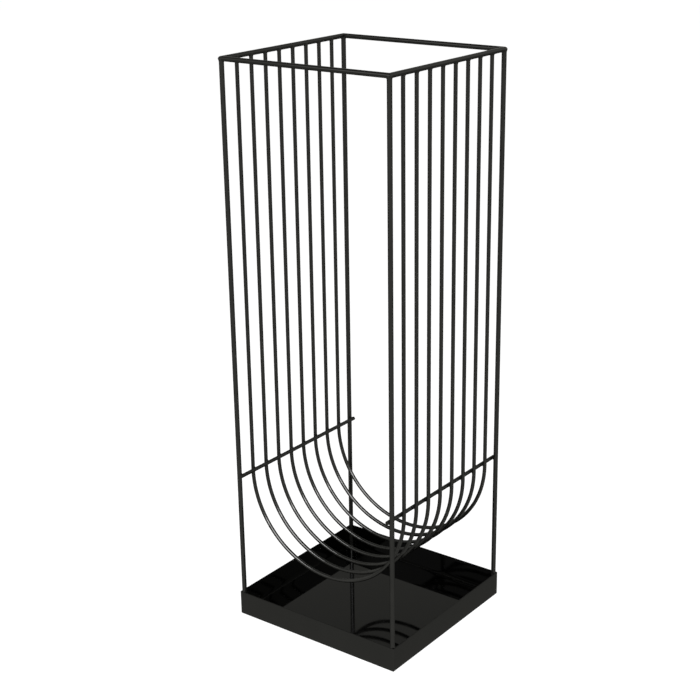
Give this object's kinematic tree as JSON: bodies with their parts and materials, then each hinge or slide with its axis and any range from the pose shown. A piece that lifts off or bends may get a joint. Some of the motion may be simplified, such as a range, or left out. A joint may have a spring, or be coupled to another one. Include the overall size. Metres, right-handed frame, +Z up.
{
  "type": "umbrella stand",
  "caption": "Tall open umbrella stand: U-bent wires between rod posts cradle the umbrellas under a rectangular top ring, over a shallow drip tray.",
  "frame": {"origin": "on the floor, under the middle of the stand", "axes": "+Z up; the two wired side walls are at -X (left) and +X (right); the open faces are the front, -Y, and the back, +Y"},
  "size_m": [0.203, 0.198, 0.6],
  "materials": {
    "frame_coat": "satin black powder coat",
    "tray_coat": "glossy black powder coat",
    "pad": "matt black"
  },
  "bodies": {
    "root": {"post_front_left": "frame_coat", "post_front_right": "frame_coat", "post_back_left": "frame_coat", "post_back_right": "frame_coat", "top_rail_front": "frame_coat", "top_rail_right": "frame_coat", "top_rail_back": "frame_coat", "top_rail_left": "frame_coat", "u_wire_1": "frame_coat", "u_wire_2": "frame_coat", "u_wire_3": "frame_coat", "u_wire_4": "frame_coat", "u_wire_5": "frame_coat", "u_wire_6": "frame_coat", "u_wire_7": "frame_coat", "u_wire_8": "frame_coat", "crossbar_left": "frame_coat", "crossbar_right": "frame_coat", "tray": "tray_coat", "foot_pad_front_left": "pad", "foot_pad_front_right": "pad", "foot_pad_back_left": "pad", "foot_pad_back_right": "pad"}
  },
  "joints": []
}
